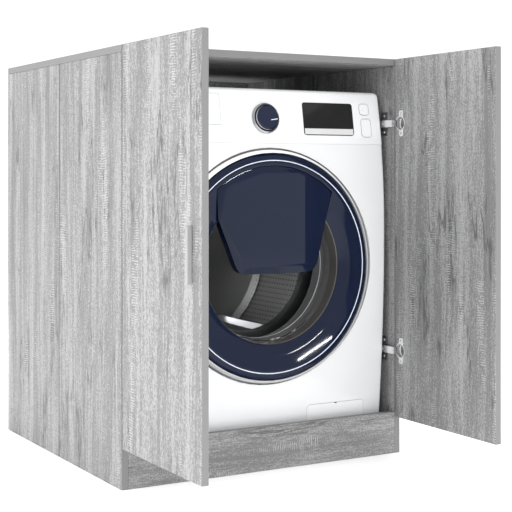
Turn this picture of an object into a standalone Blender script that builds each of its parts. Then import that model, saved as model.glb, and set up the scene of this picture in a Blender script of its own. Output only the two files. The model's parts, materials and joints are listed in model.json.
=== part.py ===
"""Two-door cabinet around a front-loading washing machine, as separate named pieces.

Metres, +Z up. The doors stand open at rest. Inside this script y = 0 is the front plane of the cabinet's
carcass, and FRONT_Y carries everything to a frame whose origin is under the middle of the whole object.
"""

import math

import bmesh
import bpy
from mathutils import Matrix, Vector

for old in list(bpy.data.objects):
    bpy.data.objects.remove(old, do_unlink=True)

PARTS = bpy.data.collections.new("cabinet_with_washer")
CUTTERS = bpy.data.collections.new("cutters")
bpy.context.scene.collection.children.link(PARTS)
bpy.context.scene.collection.children.link(CUTTERS)

GAP = 0.0003  # clearance between pieces that touch

# Cabinet
WIDTH = 0.705
DEPTH = 0.705
HEIGHT = 0.915
BOARD = 0.015
SEAM_Y = 0.350  # where the front and rear boards of the sides and the top meet
INNER = WIDTH / 2 - BOARD
MID_BOARD = WIDTH / 2 - BOARD / 2
TOP_UNDER = HEIGHT - BOARD
PLINTH_TOP = 0.0955
RAIL_BOTTOM = 0.800

# Cabinet doors
DOOR_WIDTH = 0.351
DOOR_CLEAR = 0.003  # between the carcass front and a door
DOOR_BOTTOM = 0.0845
DOOR_AXIS_Y = -DOOR_CLEAR - BOARD / 2
DOOR_EDGE_RADIUS = 0.001
HANDLE_Y = (-0.318, -0.309)
HANDLE_Z = (0.4465, 0.5545)
HANDLE_REACH = 0.011

# Concealed hinges
HINGE_Z = (0.240, 0.765)
CUP_BACK = 0.0205  # cup centre from the door's hinge edge
CUP_RADIUS = 0.0175
CUP_DEPTH = 0.0115
CUP_WALL = 0.002
FLANGE_BACK = 0.0245  # middle of the cup's flange from the door's hinge edge
FLANGE_HALF = (0.008, 0.030)
FLANGE_OUT = 0.0015  # how far flanges stand off the board
PLATE_OUT = 0.0025

# Washing machine body
WASHER_X = 0.0145
WASHER_HALF = 0.306
WASHER_FRONT = 0.010  # y of the fullest point of its bowed front
WASHER_BACK = 0.600
WASHER_TOP = 0.838
WASHER_FLOOR = 0.030
PANEL_BACK = 0.060
PANEL_SKIN = 0.0025
BOW_Z = 0.530
BOW_RADIUS_UP = 1.5
BOW_RADIUS_DOWN = 4.5
FASCIA_BOTTOM = 0.7165
WORKTOP_BOTTOM = 0.816
SHEET = 0.0015
BASE_TOP = 0.046
CORNER_RADIUS = 0.009
TOP_CORNER_RADIUS = 0.016

# Washing machine door
DOOR_X = WASHER_X
DOOR_Z = 0.4445
FRAME_OUT = 0.2505
WINDOW = 0.172
FRAME_BACK = 0.040
TRIM_OUT = 0.2575
DISH_RADIUS = 0.262
DISH_FLOOR = 0.043
PORT_RADIUS = 0.195
LOADING_AXIS = (-0.2555, 0.012)  # x and y of the loading door's hinge pin
HOOK_X = DOOR_X + 0.225
FLAP_AXIS = (DOOR_X + 0.156, 0.005)  # x and y of the small door's hinge

# Controls
KNOB = (0.0065, 0.7715)
BEZEL_OUT = 0.034
KNOB_RADIUS = 0.0285
DISPLAY_X = (0.1055, 0.2410)
DISPLAY_Z = (0.7360, 0.8100)
UPPER_BUTTON = (0.2740, 0.7975, 0.0125, 0.0125)
LOWER_BUTTON = (0.2760, 0.7545, 0.0130, 0.0205)
DRAWER_X = (-0.2800, -0.1060)
DRAWER_Z = (0.7560, 0.8240)
DRAWER_BACK = 0.300
FILTER_X = (0.1150, 0.2700)
FILTER_Z = (0.0520, 0.1275)
FILTER_CENTRE = (0.190, 0.092)
FLAP_CLEAR = 0.0008  # between the filter flap and its opening
FLAP_SWING = 0.0016  # the same at its lower edge, which swings inwards as it opens
NOTCH_RADIUS = 0.0060  # of the coin notch in the flap's upper edge

# Drive
TUB_RADIUS = 0.262
DRUM_RADIUS = 0.240
SHAFT_RADIUS = 0.0125
PULLEY_Y = (0.566, 0.584)
BELT_Y = (0.569, 0.581)
PULLEY_RADIUS = 0.140
MOTOR_PULLEY_RADIUS = 0.012
MOTOR_Z = 0.118
BELT_THICK = 0.003

# The whole object's middle along y lies at the frame's origin
FRONT_Y = -(DEPTH - DOOR_CLEAR - DOOR_WIDTH) / 2

# Look of each kind of material: colour, roughness, metallic
LOOKS = {
    "oak": ((0.42, 0.42, 0.41), 0.60, 0.0),
    "edge_band": ((0.40, 0.40, 0.39), 0.50, 0.0),
    "steel": ((0.62, 0.62, 0.64), 0.30, 1.0),
    "zinc": ((0.50, 0.50, 0.52), 0.40, 1.0),
    "white": ((0.88, 0.88, 0.88), 0.30, 0.0),
    "navy": ((0.025, 0.032, 0.085), 0.15, 0.0),
    "chrome": ((0.80, 0.80, 0.82), 0.12, 1.0),
    "glass": ((0.20, 0.22, 0.24), 0.05, 0.0),
    "black": ((0.03, 0.03, 0.03), 0.25, 0.0),
    "rubber": ((0.10, 0.10, 0.10), 0.80, 0.0),
    "grey": ((0.35, 0.36, 0.38), 0.50, 0.0),
    "concrete": ((0.45, 0.44, 0.42), 0.90, 0.0),
    "board": ((0.02, 0.22, 0.10), 0.50, 0.0),
}


# ---- building blocks ----


def material(name, look):
    colour, roughness, metallic = LOOKS[look]
    mat = bpy.data.materials.new(name)
    mat.use_nodes = True
    shader = mat.node_tree.nodes["Principled BSDF"]
    shader.inputs["Base Color"].default_value = (*colour, 1.0)
    shader.inputs["Roughness"].default_value = roughness
    shader.inputs["Metallic"].default_value = metallic
    return mat


def pivot(name, x, y, z):
    """An empty on a joint's axis, which the moving pieces hang from."""
    empty = bpy.data.objects.new(name, None)
    empty.location = (x, y + FRONT_Y, z)
    PARTS.objects.link(empty)
    return empty


def finish(ob, look, hinge=None):
    """Give a piece its material and hang it from its joint's empty."""
    ob.data.materials.append(material(ob.name, look))
    if hinge:
        ob.parent = hinge
        ob.matrix_parent_inverse = Matrix.Translation(-hinge.location)
    return ob


def mesh_object(name, bm, collection):
    bmesh.ops.recalc_face_normals(bm, faces=bm.faces)
    mesh = bpy.data.meshes.new(name)
    bm.to_mesh(mesh)
    bm.free()
    ob = bpy.data.objects.new(name, mesh)
    ob.location.y = FRONT_Y
    collection.objects.link(ob)
    return ob


def piece(name, bm, look, hinge=None):
    return finish(mesh_object(name, bm, PARTS), look, hinge)


def cutter(name, bm):
    ob = mesh_object(name, bm, CUTTERS)
    ob.hide_render = True
    ob.display_type = "WIRE"
    return ob


def boolean(ob, other, operation="DIFFERENCE"):
    step = ob.modifiers.new(other.name, "BOOLEAN")
    step.operation = operation
    step.solver = "EXACT"
    step.object = other
    return ob


def round_edges(ob, width, segments=2, method="ANGLE"):
    step = ob.modifiers.new("rounded edges", "BEVEL")
    step.width = width
    step.segments = segments
    step.limit_method = method
    return ob


def block(bm, x, y, z):
    """A box between the given limits."""
    verts = bmesh.ops.create_cube(bm, size=1.0)["verts"]
    low, high = Vector((x[0], y[0], z[0])), Vector((x[1], y[1], z[1]))
    bmesh.ops.scale(bm, vec=high - low, verts=verts)
    bmesh.ops.translate(bm, vec=(low + high) / 2, verts=verts)


def widened(span, by):
    return span[0] - by, span[1] + by


TURNS = {
    "X": Matrix.Rotation(math.pi / 2, 3, "Y"),
    "Y": Matrix.Rotation(-math.pi / 2, 3, "X"),
    "Z": Matrix.Identity(3),
}


def rod(bm, axis, centre, radius, span, sides=16, end_radius=None):
    """A cylinder along an axis: centre is its place on the other two, span its limits along it."""
    low, high = span
    made = bmesh.ops.create_cone(
        bm,
        cap_ends=True,
        segments=sides,
        radius1=radius,
        radius2=radius if end_radius is None else end_radius,
        depth=high - low,
    )["verts"]
    middle = (low + high) / 2
    place = {
        "X": (middle, *centre),
        "Y": (centre[0], middle, centre[-1]),
        "Z": (*centre, middle),
    }[axis]
    bmesh.ops.rotate(bm, cent=(0, 0, 0), matrix=TURNS[axis], verts=made)
    bmesh.ops.translate(bm, vec=place, verts=made)


def prism(bm, outline, axis, span):
    """A closed outline, drawn in the plane across an axis, drawn out between two limits."""
    low, high = span

    def corner(a, b):
        return {"X": (low, a, b), "Y": (a, low, b), "Z": (a, b, low)}[axis]

    face = bm.faces.new([bm.verts.new(corner(a, b)) for a, b in outline])
    grown = bmesh.ops.extrude_face_region(bm, geom=[face])["geom"]
    push = {"X": (high - low, 0, 0), "Y": (0, high - low, 0), "Z": (0, 0, high - low)}[axis]
    bmesh.ops.translate(bm, vec=push, verts=[v for v in grown if isinstance(v, bmesh.types.BMVert)])


def arc(radius, start, end, steps, centre=(0.0, 0.0)):
    """Points on an arc, angles in degrees."""
    angles = [math.radians(start + (end - start) * i / steps) for i in range(steps + 1)]
    return [(centre[0] + radius * math.cos(a), centre[1] + radius * math.sin(a)) for a in angles]


def turned(name, profile, centre, look, steps=48, wall=None, hinge=None, at_y=0.0, tilt=0.0):
    """A profile of (radius, y) points turned round a line along y: solid, unless wall gives a thickness."""
    pairs = list(zip(profile, profile[1:] + profile[:1]))
    if sum(r0 * y1 - r1 * y0 for (r0, y0), (r1, y1) in pairs) > 0:
        profile = profile[::-1]  # its outer side runs down, so that the faces point out
    mesh = bpy.data.meshes.new(name)
    bm = bmesh.new()
    verts = [bm.verts.new((r, 0, y)) for r, y in profile]
    ring = wall is None and profile[0][0] > 0
    for a, b in zip(verts, verts[1:] + verts[:1] if ring else verts[1:]):
        bm.edges.new((a, b))
    bm.to_mesh(mesh)
    bm.free()
    ob = bpy.data.objects.new(name, mesh)
    ob.location = (centre[0], FRONT_Y + at_y, centre[1])
    ob.rotation_euler.x = -math.pi / 2 - tilt
    (PARTS if look else CUTTERS).objects.link(ob)
    spin = ob.modifiers.new("turned", "SCREW")
    spin.axis = "Z"
    spin.steps = spin.render_steps = steps
    spin.use_merge_vertices = True
    spin.merge_threshold = 0.00001
    if wall:
        thick = ob.modifiers.new("wall", "SOLIDIFY")
        thick.thickness = wall
        thick.offset = 0.0
    if look:
        return finish(ob, look, hinge)
    ob.hide_render = True
    ob.display_type = "WIRE"
    return ob


def bow(z):
    """How far forward the washing machine's front stands at a height, as y."""
    radius = BOW_RADIUS_UP if z > BOW_Z else BOW_RADIUS_DOWN
    return WASHER_FRONT + (z - BOW_Z) ** 2 / (2 * radius)


def bowed_outline(z, inset=0.0, back=PANEL_BACK, steps=10):
    """A (y, z) outline with the bowed front on one side and a flat back."""
    heights = [z[0] + (z[1] - z[0]) * i / steps for i in range(steps + 1)]
    return [(bow(h) + inset, h) for h in heights] + [(back, z[1]), (back, z[0])]


def rounded_rectangle(x, z, radius, steps=3):
    """An outline with rounded corners."""
    corners = (
        (x[1] - radius, z[0] + radius, -90),
        (x[1] - radius, z[1] - radius, 0),
        (x[0] + radius, z[1] - radius, 90),
        (x[0] + radius, z[0] + radius, 180),
    )
    return [p for cx, cz, start in corners for p in arc(radius, start, start + 90, steps, (cx, cz))]


# ---- cabinet carcass ----

for label, side in (("left", -1), ("right", 1)):
    x = sorted((side * INNER, side * WIDTH / 2))
    for place, y in (("front", (0.0, SEAM_Y - GAP)), ("rear", (SEAM_Y, DEPTH))):
        bm = bmesh.new()
        block(bm, x, y, (0.0, TOP_UNDER - GAP))
        piece(f"side_{label}_{place}", bm, "oak")

for place, y in (("front", (0.0, SEAM_Y - GAP)), ("rear", (SEAM_Y, DEPTH))):
    bm = bmesh.new()
    block(bm, (-WIDTH / 2, WIDTH / 2), y, (TOP_UNDER, HEIGHT))
    piece(f"top_{place}", bm, "oak")

bm = bmesh.new()
block(bm, (-INNER + GAP, INNER - GAP), (0.0, BOARD), (0.0, PLINTH_TOP))
piece("plinth", bm, "oak")

bm = bmesh.new()
block(bm, (-INNER + GAP, INNER - GAP), (DEPTH - BOARD, DEPTH), (RAIL_BOTTOM, TOP_UNDER - GAP))
piece("rear_rail", bm, "oak")

# ---- hinges on the carcass ----

PLUS = (
    (0.026, -0.0275),
    (0.048, -0.0275),
    (0.048, -0.010),
    (0.058, -0.010),
    (0.058, 0.010),
    (0.048, 0.010),
    (0.048, 0.0275),
    (0.026, 0.0275),
    (0.026, 0.010),
    (0.018, 0.010),
    (0.018, -0.010),
    (0.026, -0.010),
)
ARM = (
    (0.0012, 0.057),
    (0.0012, 0.018),
    (0.0022, 0.004),
    (0.0022, -0.012),
    (0.0095, -0.012),
    (0.0125, -0.006),
    (0.0125, 0.022),
    (0.0095, 0.057),
)
ARM_HALF = 0.008

LEVELS = tuple(zip(("lower", "upper"), HINGE_Z))
for label, side in (("left", -1), ("right", 1)):
    for level, z in LEVELS:
        bm = bmesh.new()
        outline = [(y, z + rise) for y, rise in PLUS]
        prism(bm, outline, "X", sorted((side * (INNER - GAP), side * (INNER - PLATE_OUT))))
        plate = cutter(f"{label}_{level}_hinge_plate", bm)
        bm = bmesh.new()
        outline = [(side * (INNER - out), y) for out, y in ARM]
        prism(bm, outline, "Z", (z - ARM_HALF, z + ARM_HALF))
        boolean(piece(f"{label}_{level}_hinge_arm", bm, "steel"), plate, "UNION")

# ---- cabinet doors, drawn where they stand when open ----

for label, side in (("left", -1), ("right", 1)):
    hinge = pivot(f"{label}_door_axis", side * MID_BOARD, DOOR_AXIS_Y, DOOR_BOTTOM)
    edge = -DOOR_CLEAR
    outer = side * WIDTH / 2
    cup_y = edge - CUP_BACK

    bm = bmesh.new()
    for z in HINGE_Z:
        bore = sorted((side * (INNER - 0.001), side * (INNER + CUP_DEPTH + GAP)))
        rod(bm, "X", (cup_y, z), CUP_RADIUS + 2 * GAP, bore, 20)
    cup_bores = cutter(f"{label}_cup_bores", bm)

    bm = bmesh.new()
    block(bm, sorted((side * INNER, outer)), (edge - DOOR_WIDTH, edge), (DOOR_BOTTOM, HEIGHT))
    door = piece(f"{label}_door", bm, "oak", hinge)
    round_edges(door, DOOR_EDGE_RADIUS, 1)
    boolean(door, cup_bores)

    for level, z in LEVELS:
        name = f"{label}_{level}_hinge_cup"
        flange_y = edge - FLANGE_BACK
        bm = bmesh.new()
        outline = rounded_rectangle(
            (flange_y - FLANGE_HALF[0], flange_y + FLANGE_HALF[0]),
            (z - FLANGE_HALF[1], z + FLANGE_HALF[1]),
            0.005,
        )
        prism(bm, outline, "X", sorted((side * (INNER - GAP), side * (INNER - FLANGE_OUT))))
        cup = piece(name, bm, "zinc", hinge)
        bm = bmesh.new()
        bowl = sorted((side * (INNER - 0.0012), side * (INNER + CUP_DEPTH)))
        rod(bm, "X", (cup_y, z), CUP_RADIUS, bowl, 20)
        boolean(cup, cutter(f"{name}_bowl", bm), "UNION")
        bm = bmesh.new()
        hollow = sorted((side * (INNER - 0.003), side * (INNER + CUP_DEPTH - CUP_WALL / 2)))
        rod(bm, "X", (cup_y, z), CUP_RADIUS - CUP_WALL, hollow, 20)
        boolean(cup, cutter(f"{name}_hollow", bm))

    bm = bmesh.new()
    block(bm, sorted((outer + side * GAP, outer + side * HANDLE_REACH)), HANDLE_Y, HANDLE_Z)
    round_edges(piece(f"{label}_handle", bm, "edge_band", hinge), 0.0012, 1)

# ---- washing machine casing ----

WASHER_L = WASHER_X - WASHER_HALF
WASHER_R = WASHER_X + WASHER_HALF


def bowed_slab(name, x, z, weights):
    """A solid with the bowed front. weights(edge's two corners) rounds the edges it picks."""
    bm = bmesh.new()
    prism(bm, bowed_outline(z), "X", x)
    layer = bm.edges.layers.float.new("bevel_weight_edge")
    for edge in bm.edges:
        edge[layer] = weights(*(v.co for v in edge.verts))
    slab = piece(name, bm, "white")
    return round_edges(slab, TOP_CORNER_RADIUS, 3, "WEIGHT")


def side_front_edge(a, b):
    return abs(a.x - b.x) < GAP and max(a.y, b.y) < PANEL_BACK - GAP


def panel_weights(a, b):
    return CORNER_RADIUS / TOP_CORNER_RADIUS if side_front_edge(a, b) and abs(a.z - b.z) > GAP else 0.0


def fascia_weights(a, b):
    if min(a.z, b.z) > WASHER_TOP - GAP:
        along_side = abs(a.x - b.x) < GAP
        along_front = abs(a.x - b.x) > GAP and max(a.y, b.y) < PANEL_BACK - GAP
        return 1.0 if along_side else 0.5 if along_front else 0.0
    return panel_weights(a, b)


# The front panel is a pressed skin with a dish for the loading door
bm = bmesh.new()
inner = (FASCIA_BOTTOM - GAP - PANEL_SKIN, WASHER_FLOOR + PANEL_SKIN)
prism(
    bm,
    bowed_outline((inner[1], inner[0]), PANEL_SKIN, PANEL_BACK + 0.01),
    "X",
    (WASHER_L + PANEL_SKIN, WASHER_R - PANEL_SKIN),
)
panel_hollow = cutter("panel_hollow", bm)
bm = bmesh.new()
rod(bm, "Y", (DOOR_X, DOOR_Z), DISH_RADIUS + PANEL_SKIN, (-0.05, DISH_FLOOR + PANEL_SKIN), 64)
boolean(panel_hollow, cutter("dish_wall", bm))
bm = bmesh.new()
rod(bm, "Y", (DOOR_X, DOOR_Z), DISH_RADIUS, (-0.05, DISH_FLOOR), 64)
dish = cutter("dish", bm)
bm = bmesh.new()
rod(bm, "Y", (DOOR_X, DOOR_Z), PORT_RADIUS, (-0.05, 0.08), 48)
port = cutter("port", bm)

HINGE_POCKET = ((-0.270, -0.236), (-0.02, 0.050), (DOOR_Z - 0.052, DOOR_Z + 0.052))
bm = bmesh.new()
block(bm, *HINGE_POCKET)
block(bm, (HOOK_X - 0.008, HOOK_X + 0.013), (0.020, 0.080), (DOOR_Z - 0.014, DOOR_Z + 0.014))
prism(bm, rounded_rectangle(FILTER_X, FILTER_Z, 0.008), "Y", (-0.02, 0.080))
panel_holes = cutter("panel_holes", bm)

panel = bowed_slab("washer_front", (WASHER_L, WASHER_R), (WASHER_FLOOR, FASCIA_BOTTOM - GAP), panel_weights)
for tool in (panel_hollow, dish, port, panel_holes):
    boolean(panel, tool)

# The fascia carries the controls and takes the drawer
bm = bmesh.new()
prism(
    bm,
    bowed_outline((FASCIA_BOTTOM + PANEL_SKIN, WASHER_TOP - PANEL_SKIN), PANEL_SKIN, PANEL_BACK + 0.01),
    "X",
    (WASHER_L + PANEL_SKIN + 0.004, WASHER_R - PANEL_SKIN - 0.004),
)
fascia_hollow = cutter("fascia_hollow", bm)


def button_outline(button, grow=0.0):
    x, z, half_x, half_z = button
    grown_x, grown_z = half_x + grow, half_z + grow
    return rounded_rectangle((x - grown_x, x + grown_x), (z - grown_z, z + grown_z), 0.007 + grow)


knob_y = bow(KNOB[1])
KNOB_TILT = math.atan((KNOB[1] - BOW_Z) / BOW_RADIUS_UP)
knob_hole = [(0.0, -0.02), (BEZEL_OUT - 0.002, -0.02), (BEZEL_OUT - 0.002, 0.03), (0.0, 0.03)]
knob_hole = turned("knob_hole", knob_hole, KNOB, None, 32, at_y=knob_y, tilt=KNOB_TILT)
bm = bmesh.new()
prism(bm, rounded_rectangle(widened(DISPLAY_X, GAP), widened(DISPLAY_Z, GAP), 0.006), "Y", (-0.02, 0.08))
for button in (UPPER_BUTTON, LOWER_BUTTON):
    prism(bm, button_outline(button, 2 * GAP), "Y", (-0.02, 0.08))
block(bm, widened(DRAWER_X, 2 * GAP), (-0.02, 0.08), widened(DRAWER_Z, 2 * GAP))
fascia_holes = cutter("fascia_holes", bm)

fascia = bowed_slab("control_fascia", (WASHER_L, WASHER_R), (FASCIA_BOTTOM, WASHER_TOP), fascia_weights)
boolean(fascia, fascia_hollow)
boolean(fascia, fascia_holes)
boolean(fascia, knob_hole)

BODY_Y = (PANEL_BACK + GAP, WASHER_BACK - SHEET - GAP)
for label, x in (("left", (WASHER_L, WASHER_L + SHEET)), ("right", (WASHER_R - SHEET, WASHER_R))):
    bm = bmesh.new()
    block(bm, x, BODY_Y, (WASHER_FLOOR, WORKTOP_BOTTOM - GAP))
    piece(f"washer_{label}_side", bm, "white")

bm = bmesh.new()
block(bm, (WASHER_L, WASHER_R), (WASHER_BACK - SHEET, WASHER_BACK), (WASHER_FLOOR, WORKTOP_BOTTOM - GAP))
back = piece("washer_back", bm, "white")

bm = bmesh.new()
block(bm, (WASHER_L, WASHER_R), (PANEL_BACK + GAP, WASHER_BACK), (WORKTOP_BOTTOM, WASHER_TOP))
round_edges(piece("washer_worktop", bm, "white"), 0.003, 2)

bm = bmesh.new()
block(bm, (WASHER_L + SHEET + GAP, WASHER_R - SHEET - GAP), BODY_Y, (WASHER_FLOOR, BASE_TOP))
base = piece("washer_base", bm, "grey")
bm = bmesh.new()
for x in (WASHER_L + 0.045, WASHER_R - 0.045):
    for y in (PANEL_BACK + 0.050, WASHER_BACK - 0.050):
        rod(bm, "Z", (x, y), 0.020, (0.0, 0.014), 20)
        rod(bm, "Z", (x, y), 0.007, (0.012, WASHER_FLOOR + 0.004), 12)
feet = boolean(base, cutter("washer_feet", bm), "UNION")
feet.modifiers[-1].use_self = True

# ---- controls ----


def bowed_plate(name, outline, skin, look, hinge=None, proud=0.0):
    """A plate cut to an outline, its face following the bowed front."""
    low, high = min(z for _, z in outline), max(z for _, z in outline)
    left, right = min(x for x, _ in outline), max(x for x, _ in outline)
    steps = 4
    heights = [low - GAP + (high - low + 2 * GAP) * i / steps for i in range(steps + 1)]
    face = [(bow(h) - proud, h) for h in heights]
    rear = [(bow(h) - proud + skin, h) for h in reversed(heights)]
    sheet = bmesh.new()
    prism(sheet, face + rear, "X", (left - 0.01, right + 0.01))
    bm = bmesh.new()
    prism(bm, outline, "Y", (-0.02, 0.08))
    ob = piece(name, bm, look, hinge)
    return boolean(ob, cutter(f"{name}_sheet", sheet), "INTERSECT")


display = rounded_rectangle(DISPLAY_X, DISPLAY_Z, 0.006)
bowed_plate("display_window", display, 0.005, "black", proud=0.0006)

bm = bmesh.new()
block(bm, (-0.040, 0.290), (0.0462, 0.0480), (0.728, 0.808))
board = piece("control_board", bm, "board")
bm = bmesh.new()
rod(bm, "Y", KNOB, 0.0110, (0.03, 0.07), 16)
for button in (UPPER_BUTTON, LOWER_BUTTON):
    rod(bm, "Y", button[:2], 0.0050, (0.03, 0.07), 12)
boolean(board, cutter("board_holes", bm))

for name, button in (("upper_button", UPPER_BUTTON), ("lower_button", LOWER_BUTTON)):
    hinge = pivot(f"{name}_axis", button[0], bow(button[1]), button[1])
    bowed_plate(name, button_outline(button), 0.006, "white", hinge, proud=0.0006)

bezel = [
    (BEZEL_OUT, -GAP),
    (BEZEL_OUT, -0.0040),
    (BEZEL_OUT - 0.0035, -0.0060),
    (KNOB_RADIUS + 0.0008, -0.0020),
    (KNOB_RADIUS + 0.0008, 0.0060),
    (BEZEL_OUT - 0.0026, 0.0060),
    (BEZEL_OUT - 0.0026, -GAP),
]
turned("knob_bezel", bezel, KNOB, "chrome", 28, at_y=knob_y, tilt=KNOB_TILT)

knob_axis = pivot("program_knob_axis", KNOB[0], knob_y, KNOB[1])
knob = [
    (0.0, -0.0150),
    (KNOB_RADIUS - 0.0040, -0.0145),
    (KNOB_RADIUS - 0.0010, -0.0125),
    (KNOB_RADIUS, -0.0090),
    (KNOB_RADIUS, 0.0050),
    (0.0060, 0.0050),
    (0.0060, 0.0230),
    (0.0, 0.0230),
]
turned("program_knob", knob, KNOB, "navy", 28, hinge=knob_axis, at_y=knob_y, tilt=KNOB_TILT)

# ---- detergent drawer ----

drawer_axis = pivot("detergent_drawer_axis", sum(DRAWER_X) / 2, bow(DRAWER_Z[0]), sum(DRAWER_Z) / 2)
FRONT_DEPTH = 0.018
bm = bmesh.new()
heights = [DRAWER_Z[0] + (DRAWER_Z[1] - DRAWER_Z[0]) * i / 4 for i in range(5)]
front_back = bow(DRAWER_Z[1]) + FRONT_DEPTH
front_outline = [(bow(h), h) for h in heights] + [(front_back, h) for h in reversed(DRAWER_Z)]
prism(bm, front_outline, "X", DRAWER_X)
drawer_front = cutter("drawer_front", bm)
bm = bmesh.new()
scoop_z = DRAWER_Z[0] - 0.010
scoop_y = bow(DRAWER_Z[0])
prism(
    bm,
    [(scoop_y - 0.006, scoop_z - 0.01)] + arc(0.016, -60, 80, 6, (scoop_y + 0.002, scoop_z + 0.008)),
    "X",
    (DRAWER_X[0] + 0.030, DRAWER_X[1] - 0.008),
)
boolean(drawer_front, cutter("drawer_scoop", bm))

TRAY_X = (DRAWER_X[0] + 0.004, DRAWER_X[1] - 0.004)
TRAY_Z = (DRAWER_Z[0] + 0.002, DRAWER_Z[1] - 0.012)
TRAY_Y = (front_back - 0.003, DRAWER_BACK)
bm = bmesh.new()
block(bm, TRAY_X, TRAY_Y, TRAY_Z)
tray = piece("detergent_drawer", bm, "grey", drawer_axis)
bm = bmesh.new()
wall = 0.002
divider = TRAY_X[0] + 0.105
for x in ((TRAY_X[0] + wall, divider), (divider + wall, TRAY_X[1] - wall)):
    block(bm, x, (front_back + wall, TRAY_Y[1] - wall), (TRAY_Z[0] + wall, TRAY_Z[1] + 0.01))
boolean(tray, cutter("tray_hollows", bm))
boolean(tray, drawer_front, "UNION")

bm = bmesh.new()
HOUSING_Y = (PANEL_BACK + 0.004, DRAWER_BACK + 0.012)
HOUSING_Z = (TRAY_Z[0] - 0.005, WORKTOP_BOTTOM - 0.0010)
block(bm, (TRAY_X[0] - 0.0035, TRAY_X[1] + 0.0035), HOUSING_Y, HOUSING_Z)
housing = piece("drawer_housing", bm, "grey")
bm = bmesh.new()
hollow_z = (TRAY_Z[0] - 0.002, HOUSING_Z[1] - 0.0012)
block(bm, widened(TRAY_X, 0.001), (0.02, HOUSING_Y[1] - 0.003), hollow_z)
boolean(housing, cutter("housing_hollow", bm))

# ---- filter flap and drain pump ----

flap_hinge = pivot("filter_flap_axis", sum(FILTER_X) / 2, bow(FILTER_Z[0]) + 0.003, FILTER_Z[0] + 0.003)
flap_z = (FILTER_Z[0] + FLAP_SWING, FILTER_Z[1] - FLAP_CLEAR)
outline = rounded_rectangle(widened(FILTER_X, -FLAP_CLEAR), flap_z, 0.007)
filter_flap = bowed_plate("filter_flap", outline, 0.003, "white", flap_hinge)
bm = bmesh.new()
rod(bm, "Y", (FILTER_CENTRE[0] + 0.003, flap_z[1] + 0.0038), NOTCH_RADIUS, (0.0, 0.05), 24)
boolean(filter_flap, cutter("flap_notch", bm))

filter_axis = pivot("drain_filter_axis", FILTER_CENTRE[0], 0.05, FILTER_CENTRE[1])
bm = bmesh.new()
rod(bm, "Y", FILTER_CENTRE, 0.024, (0.046, 0.084), 24)
grip = bmesh.new()
grip_x, grip_z = [(middle - half, middle + half) for middle, half in zip(FILTER_CENTRE, (0.020, 0.004))]
block(grip, grip_x, (0.038, 0.050), grip_z)
boolean(piece("drain_filter", bm, "grey", filter_axis), cutter("filter_grip", grip), "UNION")

pump = [
    (0.030, 0.062),
    (0.034, 0.062),
    (0.034, 0.110),
    (0.026, 0.125),
    (0.026, 0.165),
    (0.0, 0.165),
    (0.0, 0.090),
    (0.030, 0.090),
]
turned("drain_pump", pump, FILTER_CENTRE, "grey", 24)

# ---- loading door ----

loading = pivot("loading_door_axis", *LOADING_AXIS, DOOR_Z)
frame_profile = [
    (WINDOW, FRAME_BACK),
    (WINDOW, 0.0110),
    (0.175, 0.0092),
    (0.205, 0.0065),
    (0.226, 0.0030),
    (0.236, 0.0018),
    (0.245, 0.0040),
    (FRAME_OUT, 0.0100),
    (FRAME_OUT, FRAME_BACK),
]
door_frame = turned("loading_door_frame", frame_profile, (DOOR_X, DOOR_Z), "navy", 56, hinge=loading)

trim_profile = [
    (FRAME_OUT + GAP, 0.0060),
    (TRIM_OUT - 0.0020, 0.0060),
    (TRIM_OUT, 0.0090),
    (TRIM_OUT, 0.0170),
    (FRAME_OUT + GAP, 0.0170),
]
turned("loading_door_trim", trim_profile, (DOOR_X, DOOR_Z), "chrome", 56, hinge=loading)

# The bowl is glass, with a port behind the small door
bowl_profile = [
    (0.0, 0.1220),
    (0.085, 0.1195),
    (0.128, 0.1100),
    (0.153, 0.0940),
    (0.1645, 0.0720),
    (0.1670, 0.0430),
    (0.181, 0.0430),
]
glass = turned("loading_door_glass", bowl_profile, (DOOR_X, DOOR_Z), "glass", 40, wall=0.004, hinge=loading)

FLAP_TOP = 0.222
FLAP_REAR = 0.0245
FLAP_FACE = 0.0006
FLAP_LOW = -0.0155
FLAP_CORNER = 0.030
# Where the side walls end and the slopes up to the face begin, at each corner of the outline
FLAP_RIM = (0.0060, *[0.0042] * 8, 0.0040, 0.0040, 0.0055, 0.0085, 0.0110, 0.0110, 0.0110, 0.0105, 0.0095)


def flap_outline(grow=0.0):
    """The small door's outline: an arc above, sides that close in, and rounded lower corners."""
    top = arc(FLAP_TOP + grow, 47, 130, 8)
    height = FLAP_LOW - grow + FLAP_CORNER
    left = arc(FLAP_CORNER, 200, 270, 3, (-0.069 - grow, height))
    right = arc(FLAP_CORNER, 270, 340, 3, (0.088 + grow, height))
    return [(DOOR_X + x, DOOR_Z + z) for x, z in top + [(-0.140 - grow, 0.108)] + left + right]


def flap_face():
    """The flat face of the small door, set to its left, with as many corners as its outline."""
    left, right, low, high = -0.1365, 0.0800, 0.0015, 0.2080
    corner, middle, fall = 0.014, 0.005, 0.046
    shoulder = arc(corner, 0, 90, 3, (right - corner, high - corner - 0.002))
    across = [(middle + (left - middle) * i / 4, high - fall * (i / 4) ** 2) for i in range(5)]
    low_left = arc(0.024, 200, 270, 3, (-0.0660, low + 0.024))
    low_right = arc(0.010, 270, 350, 3, (right - 0.010, low + 0.010))
    points = shoulder + across + [(-0.1350, 0.109)] + low_left + low_right
    return [(DOOR_X + x, DOOR_Z + z) for x, z in points]


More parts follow.
